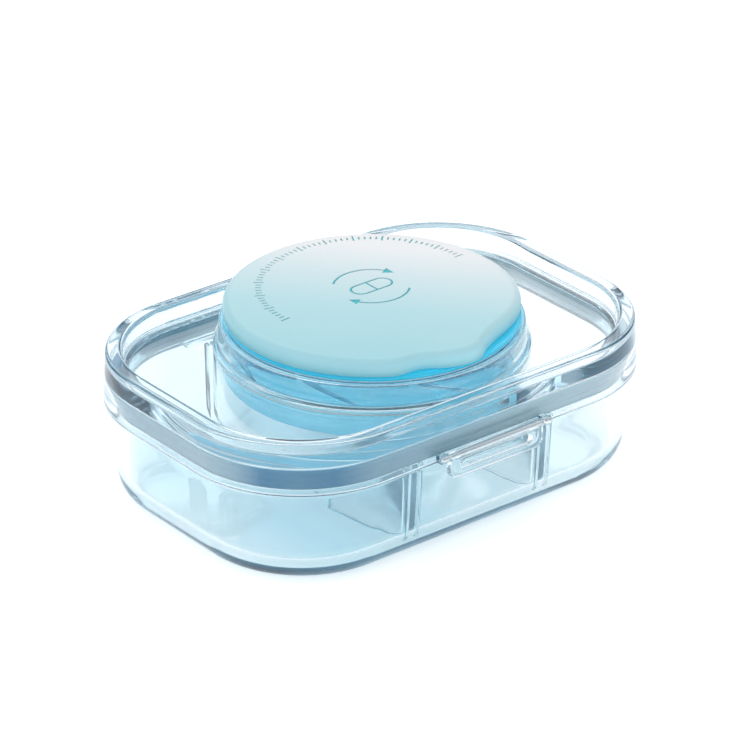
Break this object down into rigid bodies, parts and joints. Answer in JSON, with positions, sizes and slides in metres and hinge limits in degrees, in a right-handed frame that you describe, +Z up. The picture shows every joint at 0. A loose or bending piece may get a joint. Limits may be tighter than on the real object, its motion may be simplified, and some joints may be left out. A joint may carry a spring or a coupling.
{
  "type": "pill crusher",
  "caption": "Clear compartment pill box with a hinged, latched lid that holds a screw-down tablet crusher under a round mint knob.",
  "frame": {"origin": "centre of the tray's flat underside, which is the face it rests on", "axes": "+X along the box's length, -Y towards the front latch, +Y towards the hinge, +Z up through the knob"},
  "size_m": [0.089, 0.0681, 0.0331],
  "materials": {
    "clear_plastic": "clear gloss",
    "clear_dividers": "clear gloss",
    "gasket_silicone": "matte",
    "steel_pin": "satin",
    "blue_cup": "tinted gloss",
    "seal_silicone": "matte",
    "blue_teeth": "tinted gloss",
    "mint_cap": "matte",
    "blue_sleeve": "tinted gloss",
    "white_stem": "satin",
    "mark_print": "matte"
  },
  "bodies": {
    "tray": {"base_tray": "clear_plastic", "divider_left": "clear_dividers", "divider_right": "clear_dividers", "neck_gasket": "gasket_silicone", "hinge_pin": "steel_pin"},
    "lid": {"lid_shell": "clear_plastic", "crusher_collar": "clear_plastic", "thread_liner": "clear_plastic", "crusher_cup": "blue_cup", "cup_seal": "seal_silicone", "lower_grinding_plate": "blue_teeth", "latch_pin": "steel_pin"},
    "latch": {"latch_flap": "clear_plastic"},
    "wiper": {"wiper_ring": "seal_silicone"},
    "knob": {"knob_cap": "mint_cap", "knob_sleeve": "blue_sleeve", "drive_stem": "white_stem", "grinding_head": "blue_teeth", "head_screw": "steel_pin", "dust_seal": "seal_silicone", "cap_marks": "mark_print"}
  },
  "joints": [
    {"name": "lid_open", "type": "hinge", "parent": "tray", "child": "lid", "pos_m": [0, 0.03335, 0.0177], "axis": [-1, 0, 0], "range_deg": [0, 110]},
    {"name": "latch_swing", "type": "hinge", "parent": "lid", "child": "latch", "pos_m": [0, -0.0325, 0.01875], "axis": [-1, 0, 0], "range_deg": [0, 75]},
    {"name": "knob_lift", "type": "slide", "parent": "lid", "child": "wiper", "axis": [0, 0, 1], "range_m": [0, 0.0113]},
    {"name": "knob_turn", "type": "hinge", "parent": "wiper", "child": "knob", "pos_m": [0, 0, 0.028], "axis": [0, 0, -1], "range_deg": [0, 75]}
  ],
  "couplings": [
    {"joint": "knob_lift", "follows": "knob_turn", "m_per_rad": 0.0085944}
  ]
}
